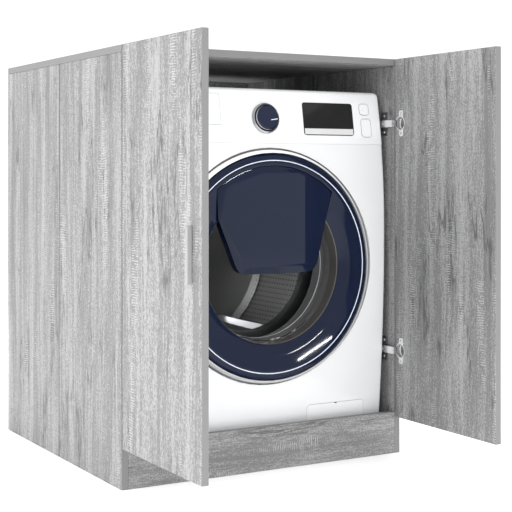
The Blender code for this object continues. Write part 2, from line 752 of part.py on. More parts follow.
bm = bmesh.new()
prism(bm, flap_outline(), "Y", (min(FLAP_RIM), FLAP_REAR))
front = [face for face in bm.faces if max(v.co.y for v in face.verts) < min(FLAP_RIM) + GAP]
grown = bmesh.ops.extrude_face_region(bm, geom=front)["geom"]
raised = {v for v in grown if isinstance(v, bmesh.types.BMVert)}
bmesh.ops.delete(bm, geom=front, context="FACES_ONLY")
corners = list(zip(flap_outline(), flap_face(), FLAP_RIM))
for vert in bm.verts:
    _, target, depth = min(corners, key=lambda corner: math.dist(corner[0], (vert.co.x, vert.co.z)))
    if vert in raised:
        vert.co = (target[0], FLAP_FACE, target[1])
    elif vert.co.y < FLAP_REAR - GAP:
        vert.co.y = depth
add_hinge = pivot("add_flap_axis", *FLAP_AXIS, DOOR_Z + 0.1)
add_flap = piece("add_flap", bm, "navy", add_hinge)
round_edges(add_flap, 0.0030, 2)

bm = bmesh.new()
prism(bm, flap_outline(0.0012), "Y", (-0.02, FLAP_REAR + GAP))
boolean(door_frame, cutter("flap_pocket", bm))

bm = bmesh.new()
port = rounded_rectangle(widened((DOOR_X, DOOR_X), 0.055), (DOOR_Z + 0.045, DOOR_Z + 0.125), 0.015)
prism(bm, port, "Y", (0.05, 0.15))
boolean(glass, cutter("bowl_port", bm))

# Hinge leaf and hook
leaf = bmesh.new()
block(leaf, (LOADING_AXIS[0], DOOR_X - FRAME_OUT - GAP), (0.0185, 0.0225), (DOOR_Z - 0.030, DOOR_Z + 0.030))
hole = bmesh.new()
rod(hole, "Z", LOADING_AXIS, 0.0040, (DOOR_Z - 0.05, DOOR_Z + 0.05), 20)
bm = bmesh.new()
rod(bm, "Z", LOADING_AXIS, 0.0075, (DOOR_Z - 0.0340, DOOR_Z + 0.0340), 20)
leaf_object = piece("loading_door_hinge", bm, "steel", loading)
boolean(leaf_object, cutter("hinge_leaf", leaf), "UNION")
boolean(leaf_object, cutter("hinge_hole", hole))

BRACKET_Z = 0.0345  # half the room between the bracket's ears
bm = bmesh.new()
block(bm, (-0.269, -0.2375), (0.0355, 0.0395), (DOOR_Z - 0.051, DOOR_Z + 0.051))
bracket = piece("door_hinge_bracket", bm, "steel")
bm = bmesh.new()
rod(bm, "Z", LOADING_AXIS, 0.0036, (DOOR_Z - BRACKET_Z - 0.002, DOOR_Z + BRACKET_Z + 0.002), 16)
for side in (-1, 1):
    span = sorted((DOOR_Z + side * BRACKET_Z, DOOR_Z + side * (BRACKET_Z + 0.004)))
    block(bm, (LOADING_AXIS[0] - 0.007, LOADING_AXIS[0] + 0.007), (LOADING_AXIS[1] - 0.007, 0.037), span)
boolean(bracket, cutter("bracket_ears_and_pin", bm), "UNION")
bracket.modifiers[-1].use_self = True

bm = bmesh.new()
block(bm, (HOOK_X - 0.003, HOOK_X + 0.003), (FRAME_BACK + GAP, 0.062), (DOOR_Z - 0.008, DOOR_Z + 0.008))
round_edges(piece("door_hook", bm, "steel", loading), 0.001, 1)

bm = bmesh.new()
block(bm, (HOOK_X - 0.013, HOOK_X + 0.018), (0.0460, 0.085), (DOOR_Z - 0.035, DOOR_Z + 0.035))
latch = piece("door_latch", bm, "black")
bm = bmesh.new()
block(bm, (HOOK_X - 0.007, HOOK_X + 0.012), (0.03, 0.075), (DOOR_Z - 0.012, DOOR_Z + 0.012))
boolean(latch, cutter("latch_slot", bm))

# ---- tub, drum and drive ----

AXIS = (WASHER_X, DOOR_Z)
gasket = [
    (0.192, 0.0475),
    (0.177, 0.0500),
    (0.176, 0.0660),
    (0.187, 0.0760),
    (0.176, 0.0900),
    (0.174, 0.1110),
]
turned("door_gasket", gasket, AXIS, "rubber", 36, wall=0.003)

tub = [(0.174, 0.1150), (TUB_RADIUS, 0.1150), (TUB_RADIUS, 0.5000), (0.036, 0.5100), (0.036, 0.5600)]
turned("tub", tub, AXIS, "grey", 40, wall=0.004)

block_ring = [(0.198, 0.0850), (0.248, 0.0850), (0.248, 0.1120), (0.198, 0.1120)]
turned("counterweight", block_ring, AXIS, "concrete", 40)

bm = bmesh.new()
rod(bm, "Y", AXIS, 0.0330, (0.520, 0.555), 24)
bearings = piece("drum_bearing", bm, "steel")
bm = bmesh.new()
rod(bm, "Y", AXIS, 0.0132, (0.50, 0.58), 24)
boolean(bearings, cutter("bearing_bore", bm))

drum_axis = pivot("drum_axis", AXIS[0], 0.30, AXIS[1])
drum = [
    (0.158, 0.1480),
    (0.160, 0.1330),
    (DRUM_RADIUS, 0.1380),
    (DRUM_RADIUS, 0.4650),
    (0.225, 0.4780),
    (0.014, 0.4780),
]
drum_shell = turned("drum", drum, AXIS, "steel", 40, wall=0.002, hinge=drum_axis)

bm = bmesh.new()
for k in range(3):
    start = len(bm.verts)
    prism(bm, [(-0.030, 0.2385), (-0.012, 0.190), (0.012, 0.190), (0.030, 0.2385)], "Y", (0.170, 0.455))
    bm.verts.ensure_lookup_table()
    turn = Matrix.Rotation(math.radians(120 * k + 150), 3, "Y")
    bmesh.ops.rotate(bm, cent=(0, 0, 0), matrix=turn, verts=bm.verts[start:])
bmesh.ops.translate(bm, vec=(AXIS[0], 0, AXIS[1]), verts=bm.verts)
boolean(drum_shell, cutter("drum_paddles", bm), "UNION")

bm = bmesh.new()
rod(bm, "Y", AXIS, SHAFT_RADIUS, (0.4640, 0.5900), 24)
shaft = piece("drum_shaft", bm, "steel", drum_axis)
arms = bmesh.new()
for k in range(3):
    start = len(arms.verts)
    block(arms, (-0.016, 0.016), (0.4810, 0.4950), (0.0, 0.205))
    arms.verts.ensure_lookup_table()
    turn = Matrix.Rotation(math.radians(120 * k), 3, "Y")
    bmesh.ops.rotate(arms, cent=(0, 0, 0), matrix=turn, verts=arms.verts[start:])
bmesh.ops.translate(arms, vec=(AXIS[0], 0, AXIS[1]), verts=arms.verts)
spider = boolean(shaft, cutter("spider_arms", arms), "UNION")
spider.modifiers[-1].use_self = True

bm = bmesh.new()
rod(bm, "Y", AXIS, PULLEY_RADIUS, PULLEY_Y, 48)
wheel = piece("drum_pulley", bm, "zinc", drum_axis)
bm = bmesh.new()
rod(bm, "Y", AXIS, SHAFT_RADIUS + GAP, (0.50, 0.62), 24)
for k in range(5):
    angle = math.radians(72 * k)
    middle = (AXIS[0] + 0.078 * math.cos(angle), AXIS[1] + 0.078 * math.sin(angle))
    rod(bm, "Y", middle, 0.036, (0.50, 0.62), 12)
boolean(wheel, cutter("pulley_holes", bm))

MOTOR = (WASHER_X, MOTOR_Z)
motor_axis = pivot("motor_axis", MOTOR[0], 0.50, MOTOR[1])
bm = bmesh.new()
rod(bm, "Y", MOTOR, MOTOR_PULLEY_RADIUS, PULLEY_Y, 24)
small = piece("motor_pulley", bm, "steel", motor_axis)
bm = bmesh.new()
rod(bm, "Y", MOTOR, 0.006, (0.5400, 0.5850), 16)
boolean(small, cutter("motor_shaft", bm), "UNION")

bm = bmesh.new()
rod(bm, "Y", MOTOR, 0.055, (0.3800, 0.5600), 32)
motor = piece("drive_motor", bm, "black")
bm = bmesh.new()
rod(bm, "Y", MOTOR, 0.0066, (0.5380, 0.5700), 16)
boolean(motor, cutter("motor_bore", bm))


def belt_loop(slack):
    """The loop round both pulleys, slack outside them."""
    big, small_radius = PULLEY_RADIUS + slack, MOTOR_PULLEY_RADIUS + slack
    lean = math.degrees(math.asin((big - small_radius) / (DOOR_Z - MOTOR_Z)))
    top = arc(big, -lean, 180 + lean, 32, AXIS)
    bottom = arc(small_radius, 180 + lean, 360 - lean, 12, MOTOR)
    return top + bottom


bm = bmesh.new()
prism(bm, belt_loop(0.0010 + BELT_THICK), "Y", BELT_Y)
belt = piece("drive_belt", bm, "rubber")
bm = bmesh.new()
prism(bm, belt_loop(0.0010), "Y", (BELT_Y[0] - 0.01, BELT_Y[1] + 0.01))
boolean(belt, cutter("belt_inside", bm))


def coil(name, x, y, z, radius=0.009, turns=5, wire=0.0014, points=6):
    """A coil spring standing along z."""
    curve = bpy.data.curves.new(name, "CURVE")
    curve.dimensions = "3D"
    curve.bevel_depth = wire
    curve.bevel_resolution = 1
    curve.use_fill_caps = True
    spline = curve.splines.new("POLY")
    spline.points.add(turns * points)
    for i, point in enumerate(spline.points):
        angle = 2 * math.pi * i / points
        height = z[0] + (z[1] - z[0]) * i / (turns * points)
        point.co = (x + radius * math.cos(angle), y + radius * math.sin(angle), height, 1.0)
    spring = bpy.data.objects.new(name, curve)
    spring.location.y = FRONT_Y
    PARTS.objects.link(spring)
    finish(spring, "steel")


for label, side in (("left", -1), ("right", 1)):
    coil(f"{label}_tub_spring", WASHER_X + side * 0.280, 0.360, (0.620, 0.790))

# ---- rear connections ----

INLETS = ((WASHER_L + 0.060, 0.775), (WASHER_L + 0.130, 0.775))
DRAIN = (WASHER_R - 0.070, 0.765)
bm = bmesh.new()
for x, z in INLETS:
    rod(bm, "Y", (x, z), 0.0135, (0.530, 0.632), 20)
inlets = cutter("inlet_spigots", bm)
bm = bmesh.new()
for x, z in INLETS:
    rod(bm, "Y", (x, z), 0.0090, (0.545, 0.650), 16)
inlet_bores = cutter("inlet_bores", bm)
bm = bmesh.new()
block(bm, (INLETS[0][0] - 0.020, INLETS[1][0] + 0.020), (0.500, 0.535), (0.752, 0.800))
valve = piece("inlet_valve", bm, "white")
boolean(valve, inlets, "UNION")
boolean(valve, inlet_bores)

bm = bmesh.new()
rod(bm, "Y", DRAIN, 0.0140, (0.560, 0.630), 20)
drain = piece("drain_spigot", bm, "grey")
bm = bmesh.new()
rod(bm, "Y", DRAIN, 0.0105, (0.550, 0.650), 16)
boolean(drain, cutter("drain_bore", bm))

bm = bmesh.new()
for (x, z), radius in ((INLETS[0], 0.0135), (INLETS[1], 0.0135), (DRAIN, 0.0140)):
    rod(bm, "Y", (x, z), radius + 2 * GAP, (0.59, 0.61), 20)
boolean(back, cutter("back_holes", bm))
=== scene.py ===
"""Looks for a two-door oak-foil cabinet around a front-loading washing machine."""

import json
import math

import bmesh
import bpy
from mathutils import Matrix, Vector


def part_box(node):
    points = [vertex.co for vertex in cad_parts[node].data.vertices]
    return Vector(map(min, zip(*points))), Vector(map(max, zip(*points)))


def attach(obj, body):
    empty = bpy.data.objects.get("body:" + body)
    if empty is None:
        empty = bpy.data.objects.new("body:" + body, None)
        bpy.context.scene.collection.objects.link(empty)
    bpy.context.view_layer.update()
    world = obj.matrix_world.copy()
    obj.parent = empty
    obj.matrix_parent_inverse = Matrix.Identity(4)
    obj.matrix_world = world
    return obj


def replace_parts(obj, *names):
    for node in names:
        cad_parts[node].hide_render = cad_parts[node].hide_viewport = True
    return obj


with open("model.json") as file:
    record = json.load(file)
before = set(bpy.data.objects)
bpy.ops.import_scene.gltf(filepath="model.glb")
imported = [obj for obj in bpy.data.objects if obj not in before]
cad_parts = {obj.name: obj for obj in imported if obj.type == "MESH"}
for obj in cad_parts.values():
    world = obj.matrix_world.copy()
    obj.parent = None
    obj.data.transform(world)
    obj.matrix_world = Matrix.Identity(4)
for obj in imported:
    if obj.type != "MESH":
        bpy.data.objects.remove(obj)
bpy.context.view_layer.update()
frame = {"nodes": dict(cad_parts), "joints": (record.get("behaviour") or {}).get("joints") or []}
nodes = frame["nodes"]
SCENE = bpy.context.scene

# ---- camera and light ----

CAMERA_AT = (-1.40506, -2.54567, 0.6552)
CAMERA_YAW = 30.0447
SENSOR = 36.0
LENS = 88.44497  # millimetres
LENS_SHIFT = -0.1661602  # share of the frame, so that upright lines stay upright

camera = bpy.data.objects.new("camera", bpy.data.cameras.new("camera"))
camera.location = CAMERA_AT
camera.rotation_euler = (math.pi / 2, 0, -math.radians(CAMERA_YAW))
camera.data.sensor_width = SENSOR
camera.data.lens = LENS
camera.data.shift_y = LENS_SHIFT
SCENE.collection.objects.link(camera)
SCENE.camera = camera

SCENE.view_settings.view_transform = "Standard"
SCENE.view_settings.look = "None"

WORLD_STRENGTH = 1.12
world = bpy.data.worlds.new("pale studio")
SCENE.world = world
world.use_nodes = True
world.node_tree.nodes["Background"].inputs["Color"].default_value = (1, 1, 1, 1)
world.node_tree.nodes["Background"].inputs["Strength"].default_value = WORLD_STRENGTH


def group(name, members):
    """A collection of the objects that a lamp is kept to."""
    found = bpy.data.collections.new(name)
    SCENE.collection.children.link(found)
    for ob in members:
        found.objects.link(ob)
    return found


def softbox(name, at, towards, size, power, only=None):
    """An area lamp that doesn't show in reflections. only is the collection that it lights."""
    data = bpy.data.lights.new(name, "AREA")
    data.shape = "RECTANGLE"
    data.size, data.size_y = size
    data.energy = power
    ob = bpy.data.objects.new(name, data)
    ob.location = at
    ob.rotation_euler = (Vector(towards) - Vector(at)).to_track_quat("-Z", "Y").to_euler()
    SCENE.collection.objects.link(ob)
    ob.visible_glossy = False
    ob.visible_camera = False
    if only is not None:
        ob.light_linking.receiver_collection = only
    return ob


def glint(name, ends, width, power, only, distance=0.30):
    """A lamp whose mirror image lies between two places on a glossy part. ends are (point, normal) pairs."""
    spots = []
    for point, normal in ends:
        ray = (point - camera.location).normalized()
        normal = normal.normalized()
        spots.append(point + (ray - 2 * ray.dot(normal) * normal) * distance)
    middle = (spots[0] + spots[1]) / 2
    out = (middle - (ends[0][0] + ends[1][0]) / 2).normalized()
    along = spots[1] - spots[0]
    along -= out * along.dot(out)
    ob = softbox(name, middle, (0, 0, 0), (along.length, width), power, only)
    ob.visible_glossy = True
    ob.visible_diffuse = False
    along.normalize()
    ob.rotation_euler = Matrix((along, out.cross(along), out)).transposed().to_euler()
    return ob


# ---- materials ----


class Look:
    """A Principled material and short ways to build its nodes. Positions are metres in the shared frame."""

    def __init__(self, name, **values):
        self.mat = bpy.data.materials.new(name)
        self.mat.use_nodes = True
        self.tree = self.mat.node_tree
        self.shader = self.tree.nodes["Principled BSDF"]
        self.place = self.add("ShaderNodeTexCoord")
        for key, value in values.items():
            self.shader.inputs[key.replace("_", " ")].default_value = value

    def add(self, kind, inputs=None, **settings):
        node = self.tree.nodes.new(kind)
        for key, value in settings.items():
            setattr(node, key, value)
        for key, value in (inputs or {}).items():
            self.put(node.inputs[key], value)
        return node

    def put(self, socket, value):
        if isinstance(value, bpy.types.NodeSocket):
            self.tree.links.new(value, socket)
        else:
            socket.default_value = value

    def math(self, operation, a, b=0.0, c=0.0):
        return self.add("ShaderNodeMath", {0: a, 1: b, 2: c}, operation=operation).outputs[0]

    def vector(self, operation, a, b=(0, 0, 0), c=(0, 0, 0)):
        return self.add("ShaderNodeVectorMath", {0: a, 1: b, 2: c}, operation=operation).outputs[0]

    def length(self, vector):
        return self.add("ShaderNodeVectorMath", {0: vector}, operation="LENGTH").outputs["Value"]

    def radius(self, a, b):
        """Distance of the point (a, b) from zero."""
        return self.length(self.add("ShaderNodeCombineXYZ", {0: a, 1: b}).outputs[0])

    def stretched(self, scale, shift=(0, 0, 0), by=None):
        """Object coordinates times a scale along each axis, plus a shift."""
        return self.vector("MULTIPLY_ADD", by or self.place.outputs["Object"], scale, shift)

    def noise(self, vector, detail=2.0, roughness=0.5):
        inputs = {"Vector": vector, "Scale": 1.0, "Detail": detail, "Roughness": roughness, "Distortion": 0.0}
        return self.add("ShaderNodeTexNoise", inputs).outputs["Fac"]

    def ramp(self, value, *stops):
        """A colour or grey ramp. Each stop is (position, grey or colour)."""
        node = self.add("ShaderNodeValToRGB", {"Fac": value})
        elements = node.color_ramp.elements
        while len(elements) < len(stops):
            elements.new(0.5)
        for element, (position, colour) in zip(elements, stops):
            element.position = position
            element.color = (*colour, 1) if isinstance(colour, tuple) else (colour, colour, colour, 1)
        return node.outputs["Color"]

    def between(self, value, low, high):
        """0 below low, 1 above high, straight in between."""
        inputs = {"Value": value, "From Min": low, "From Max": high}
        return self.add("ShaderNodeMapRange", inputs, clamp=True).outputs["Result"]

    def mix(self, factor, a, b):
        node = self.add("ShaderNodeMix", data_type="RGBA")
        for index, value in ((0, factor), (6, a), (7, b)):
            if isinstance(value, tuple) and len(value) == 3:
                value = (*value, 1)
            elif isinstance(value, float) and index:
                value = (value, value, value, 1)
            self.put(node.inputs[index], value)
        return node.outputs[2]

    def axis(self, name, source="Object"):
        node = self.add("ShaderNodeSeparateXYZ", {0: self.place.outputs[source]})
        return node.outputs[name]

    def set(self, key, value):
        self.put(self.shader.inputs[key], value)

    def bump(self, height, strength, distance):
        node = self.add("ShaderNodeBump", {"Height": height, "Strength": strength, "Distance": distance})
        self.set("Normal", node.outputs["Normal"])


def around(grain, across, along):
    """Scale vector for grain that runs along one axis."""
    return tuple(along if axis == grain else across for axis in "XYZ")


OAK_LIGHT = 0.375
OAK_MID = 0.300
OAK_DARK = 0.155
BAND = 0.232
SAW_PITCH = 0.0052


def oak(name, grain, face, seed, tone=1.0, seam=None):
    """Printed grey-oak foil: streaks along the grain, dark cracks, and columns of pale saw marks.

    grain is the axis that the grain runs along and face the axis across the board, whose narrow sides
    carry a plain band. seam is the y of a joint between two boards, where a dark line is painted as the
    joint's shade.
    """
    look = Look(name, Roughness=0.55)
    shift = (seed * 3.1, seed * 5.7, seed * 7.3)
    warp = look.noise(look.stretched(around(grain, 9, 1.3), shift), detail=1.0)
    warped = look.vector("ADD", look.place.outputs["Object"], look.math("MULTIPLY", warp, 0.035))
    broad = look.noise(look.stretched(around(grain, 30, 1.5), shift, warped), detail=2.0, roughness=0.6)
    streak = look.noise(look.stretched(around(grain, 130, 6.5), shift, warped), detail=4.0, roughness=0.65)
    fibre = look.noise(look.stretched(around(grain, 520, 60), shift), detail=2.0)
    fuzz = look.noise(look.stretched(around(grain, 290, 210), shift), detail=2.0, roughness=0.7)
    value = look.math("MULTIPLY_ADD", broad, 0.75, look.math("MULTIPLY", streak, 0.45))
    value = look.math("MULTIPLY_ADD", fibre, 0.55, value)
    value = look.math("MULTIPLY_ADD", fuzz, 0.95, value)
    tones = look.ramp(
        look.between(value, 1.22, 1.52),
        (0.05, OAK_DARK * 1.35 * tone),
        (0.35, OAK_MID * 0.88 * tone),
        (0.60, OAK_MID * 1.08 * tone),
        (0.95, OAK_LIGHT * 1.10 * tone),
    )
    # dark cracks that open and close along the grain
    crack = look.noise(look.stretched(around(grain, 30, 3.2), shift, warped), detail=3.0, roughness=0.65)
    crack = look.between(look.math("ABSOLUTE", look.math("SUBTRACT", crack, 0.5)), 0.030, 0.006)
    where = look.noise(look.stretched(around(grain, 15, 4.5), (seed + 4, seed, seed)), detail=1.0)
    crack = look.math("MULTIPLY", crack, look.between(where, 0.52, 0.60))
    tones = look.mix(look.math("MULTIPLY", crack, 0.85), tones, OAK_DARK * 0.70 * tone)
    # pale ladders of saw marks across the grain
    column = look.noise(look.stretched(around(grain, 30, 3.6), (seed, seed + 9, seed + 2)), detail=2.0)
    wobble = look.noise(look.stretched(around(grain, 22, 16), shift), detail=1.0)
    wobble = look.math("MULTIPLY", wobble, 14.0)
    rung = look.math("MULTIPLY_ADD", look.axis(grain), 2 * math.pi / SAW_PITCH, wobble)
    rung = look.between(look.math("SINE", rung), 0.25, 0.75)
    broken = look.noise(look.stretched(around(grain, 60, 120), shift), detail=1.0)
    saw = look.math("MULTIPLY", rung, look.between(column, 0.56, 0.66))
    saw = look.math("MULTIPLY", saw, look.between(broken, 0.40, 0.52))
    tones = look.mix(look.math("MULTIPLY", saw, 0.70), tones, OAK_LIGHT * 1.65 * tone)
    if seam is not None:
        # painted shade: a dark line along the joint between the two boards
        gap = look.math("ABSOLUTE", look.math("SUBTRACT", look.axis("Y"), seam))
        tones = look.mix(look.between(gap, 0.0024, 0.0015), tones, OAK_DARK * 0.45)
    # the narrow sides carry a plain band
    plain = look.mix(fuzz, BAND * 0.95 * tone, BAND * 1.05 * tone)
    flat = look.math("ABSOLUTE", look.axis(face, "Normal"))
    is_edge = look.between(flat, 0.75, 0.60)
    look.set("Base Color", look.mix(is_edge, tones, plain))
    look.set("Roughness", look.ramp(streak, (0.3, 0.62), (0.7, 0.46)))
    relief = look.math("SUBTRACT", look.math("MULTIPLY_ADD", fibre, 0.5, streak), crack)
    look.bump(relief, 0.18, 0.0004)
    return look.mat


def moulded(name, colour, roughness, metallic=0.0, speckle=0.03, grain=900.0, bump=0.03, **values):
    """Moulded, pressed or painted material: slight colour variation, uneven gloss and a fine surface."""
    look = Look(name, Metallic=metallic, **values)
    fine = look.noise(look.stretched((grain,) * 3), detail=2.0)
    broad = look.noise(look.stretched((9, 9, 9)), detail=2.0)
    dark = tuple(c * (1 - speckle) for c in colour)
    light = tuple(min(1.0, c * (1 + speckle)) for c in colour)
    look.set("Base Color", look.mix(look.between(broad, 0.3, 0.7), dark, light))
    look.set("Roughness", look.ramp(broad, (0.3, roughness * 0.88), (0.7, roughness * 1.12)))
    look.bump(fine, bump, 0.0003)
    return look


def brushed(name, colour, roughness, along, metallic=1.0):
    """Drawn metal with fine lines along one axis."""
    look = Look(name, Metallic=metallic)
    lines = look.noise(look.stretched(around(along, 1400, 30)), detail=2.0)
    broad = look.noise(look.stretched((40, 40, 40)), detail=1.0)
    look.set("Base Color", look.mix(lines, tuple(c * 0.86 for c in colour), colour))
    look.set("Roughness", look.math("MULTIPLY_ADD", broad, 0.16, roughness))
    look.bump(lines, 0.06, 0.0002)
    return look


WELD = 0.00002
FACET_ANGLE = 32  # degrees: shallower edges are shaded smooth


def wear(ob, mat):
    ob.data.materials.clear()
    ob.data.materials.append(mat)
    return ob


def smooth(ob):
    """Weld the imported facets and shade the shallow ones smooth."""
    ob.data.polygons.foreach_set("use_smooth", [True] * len(ob.data.polygons))
    if ob.data.has_custom_normals:
        ob.data.attributes.remove(ob.data.attributes["custom_normal"])
    ob.modifiers.new("weld", "WELD").merge_threshold = WELD
    ob.modifiers.new("sharp edges", "EDGE_SPLIT").split_angle = math.radians(FACET_ANGLE)
    return ob


# ---- cabinet ----

# name, axis of the grain, axis across the face, seed, tone
OAK_BOARDS = (
    ("side_left_front", "Z", "X", 1, 0.92),
    ("side_left_rear", "Z", "X", 2, 0.92),
    ("side_right_front", "Z", "X", 3, 1.0),
    ("side_right_rear", "Z", "X", 4, 1.0),
    ("top_front", "X", "Z", 5, 1.0),
    ("top_rear", "X", "Z", 6, 1.0),
    ("plinth", "X", "Y", 7, 0.93),
    ("rear_rail", "X", "Y", 8, 1.0),
    ("left_door", "Z", "X", 9, 1.0),
    ("right_door", "Z", "X", 10, 1.0),
)
BOARD_EDGE = 0.0008
for name, grain, face, seed, tone in OAK_BOARDS:
    board, _, half = name.rpartition("_")
    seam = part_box(f"{board}_rear")[0].y if half in ("front", "rear") else None
    wear(nodes[name], oak(name, grain, face, seed, tone, seam))
    if "door" not in name:
        nodes[name].modifiers.new("weld", "WELD").merge_threshold = WELD
        soft = nodes[name].modifiers.new("soft edges", "BEVEL")
        soft.width = BOARD_EDGE
        soft.segments = 2

satin = moulded("pale grey handle", (0.40, 0.40, 0.40), 0.42, speckle=0.04, grain=600, bump=0.05)
for side in ("left", "right"):
    wear(smooth(nodes[f"{side}_handle"]), satin.mat)

PLATE_OUT = 0.0035  # the plate against the side board is painted darker than the arm on it, as shade
BOWL_RADIUS = 0.0140
arm_metal = Look("nickel plated arm", Metallic=0.9, Roughness=0.24)
inner_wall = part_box("side_right_front")[0].x
from_middle = arm_metal.math("ABSOLUTE", arm_metal.axis("X"))
plate_shade_mask = arm_metal.between(from_middle, inner_wall - PLATE_OUT - 0.0005, inner_wall - PLATE_OUT)
lines = arm_metal.noise(arm_metal.stretched((1400, 30, 1400)))
polished = arm_metal.mix(lines, (0.72, 0.72, 0.73), (0.84, 0.84, 0.85))
# the plate's dark grey is painted shade, standing in for the dark that it reflects
plate_painted_shade = arm_metal.mix(lines, (0.36, 0.36, 0.37), (0.44, 0.44, 0.45))
arm_metal.set("Base Color", arm_metal.mix(plate_shade_mask, polished, plate_painted_shade))


def cup_metal(node):
    """A bright flange round a bowl whose inside is painted dark as shade."""
    look = Look("nickel plated " + node, Metallic=0.75, Roughness=0.24)
    low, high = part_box(node)
    middle = (low + high) / 2
    offsets = [look.math("SUBTRACT", look.axis(axis), getattr(middle, axis.lower())) for axis in "YZ"]
    bowl_shade_mask = look.between(look.radius(*offsets), BOWL_RADIUS, BOWL_RADIUS - 0.001)
    plating = look.mix(look.noise(look.stretched((60, 60, 60))), (0.76, 0.76, 0.77), (0.84, 0.84, 0.85))
    # the bowl's inside is painted dark grey as shade
    look.set("Base Color", look.mix(bowl_shade_mask, plating, (0.20, 0.20, 0.20)))
    return look.mat


for side in ("left", "right"):
    for level in ("lower", "upper"):
        wear(smooth(nodes[f"{side}_{level}_hinge_arm"]), arm_metal.mat)
        cup = f"{side}_{level}_hinge_cup"
        wear(smooth(nodes[cup]), cup_metal(cup))

# ---- washing machine ----

WHITE = (0.83, 0.836, 0.845)
ENAMEL_WHITE = (0.79, 0.796, 0.805)
enamel = moulded("white enamel", ENAMEL_WHITE, 0.24, speckle=0.008, grain=420, bump=0.02, Coat_Weight=0.25)
plastic = moulded("white plastic", WHITE, 0.30, speckle=0.008, bump=0.03)
navy = moulded("navy gloss", (0.004, 0.009, 0.030), 0.05, speckle=0.10, bump=0.01, Specular_IOR_Level=0.22)
bezel_metal = moulded("bezel metal", (0.34, 0.35, 0.36), 0.22, metallic=1.0, speckle=0.05, bump=0.01)
trim_silver = moulded("satin silver trim", (0.50, 0.505, 0.51), 0.26, speckle=0.02, bump=0.01)
grey = moulded("grey plastic", (0.30, 0.31, 0.33), 0.50, speckle=0.06, bump=0.08)
dark = moulded("dark plastic", (0.020, 0.020, 0.022), 0.28, speckle=0.10, Specular_IOR_Level=0.3)
rubber = moulded("grey rubber", (0.15, 0.146, 0.14), 0.75, speckle=0.10, bump=0.15)
steel = brushed("zinc plated steel", (0.60, 0.61, 0.63), 0.30, "Z")
cast = moulded("cast aluminium", (0.58, 0.59, 0.60), 0.45, metallic=1.0, speckle=0.05, bump=0.25)
concrete = moulded("cast concrete", (0.40, 0.39, 0.37), 0.90, speckle=0.20, grain=350, bump=0.6)
circuit = moulded("solder mask", (0.02, 0.20, 0.09), 0.40, speckle=0.10)

DRESS = {
    enamel: "washer_front washer_left_side washer_right_side washer_back",
    plastic: "control_fascia washer_worktop upper_button lower_button filter_flap",
    navy: "loading_door_frame add_flap",
    bezel_metal: "knob_bezel",
    trim_silver: "loading_door_trim",
    grey: "drawer_housing tub drain_pump drain_filter drain_spigot inlet_valve washer_base",
    dark: "door_latch drive_motor",
    rubber: "door_gasket drive_belt",
    steel: "door_hinge_bracket loading_door_hinge door_hook drum_bearing motor_pulley drum_shaft "
    "left_tub_spring right_tub_spring",
    cast: "drum_pulley",
    concrete: "counterweight",
    circuit: "control_board",
}
for look, names in DRESS.items():
    for name in names.split():
        wear(smooth(nodes[name]), look.mat)

# the small door's flat faces are shaded flat, and only its rounded edges smooth
faceted = nodes["add_flap"].modifiers.new("flat faces", "WEIGHTED_NORMAL")
faceted.weight = 100
faceted.keep_sharp = True

WALL_RADIUS = 0.2340  # the drum's wall carries its holes, painted dark as shade, outside this radius
PADDLE_RADII = (0.1865, 0.2315)  # and a paddle's faces lie between these
BACK_PLATE = 0.0205  # how far the drum's back reaches from its rear
HOLE_PITCH = 0.0125
drum_low, drum_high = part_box("drum")
DRUM_AT = ((drum_low.x + drum_high.x) / 2, (drum_low.z + drum_high.z) / 2)


def drum_steel():
    """Drawn steel: holes along the wall painted near black as the shade behind them, and the paddles painted
    brighter as a highlight.
    """
    look = Look("stainless drum", Metallic=1.0)
    spoke = [look.math("SUBTRACT", look.axis(name), at) for name, at in zip("XZ", DRUM_AT)]
    reach = look.radius(*spoke)
    depth = look.axis("Y")
    above = look.between(reach, PADDLE_RADII[0] - 0.0005, PADDLE_RADII[0] + 0.0005)
    below = look.between(reach, PADDLE_RADII[1] + 0.0005, PADDLE_RADII[1] - 0.0005)
    ahead = drum_high.y - BACK_PLATE
    paddle = look.math("MULTIPLY", above, below)
    paddle = look.math("MULTIPLY", paddle, look.between(depth, ahead + 0.0005, ahead - 0.0005))
    round_count = round(2 * math.pi * WALL_RADIUS / HOLE_PITCH) / (2 * math.pi)
    cell = []
    for value, count in ((look.math("ARCTAN2", *spoke), round_count), (depth, 1 / HOLE_PITCH)):
        part = look.math("FRACT", look.math("MULTIPLY", value, count))
        cell.append(look.math("SUBTRACT", part, 0.5))
    hole = look.between(look.radius(*cell), 0.20, 0.15)
    hole = look.math("MULTIPLY", hole, look.between(reach, WALL_RADIUS, WALL_RADIUS + 0.001))
    drawn = look.noise(look.stretched((700, 30, 700)))
    sheet = look.mix(drawn, (0.30, 0.295, 0.29), (0.38, 0.375, 0.37))
    # painted shade: near black where the wall's holes are
    sheet = look.mix(hole, sheet, (0.03, 0.03, 0.03))
    # painted highlight: the paddles' faces in a much brighter copy of the same steel
    look.set("Base Color", look.mix(paddle, sheet, (0.85, 0.85, 0.87)))
    look.set("Roughness", look.math("MULTIPLY_ADD", drawn, 0.10, 0.26))
    look.bump(drawn, 0.05, 0.0002)
    return look.mat


wear(smooth(nodes["drum"]), drum_steel())

glass = Look("door glass", Roughness=0.02, IOR=1.12)
glass.set("Transmission Weight", 1.0)
cloud = glass.noise(glass.stretched((6, 6, 6)))
glass.set("Base Color", glass.mix(cloud, (0.80, 0.82, 0.84), (0.86, 0.88, 0.90)))
wear(smooth(nodes["loading_door_glass"]), glass.mat).visible_shadow = False

# ---- small visible pieces ----


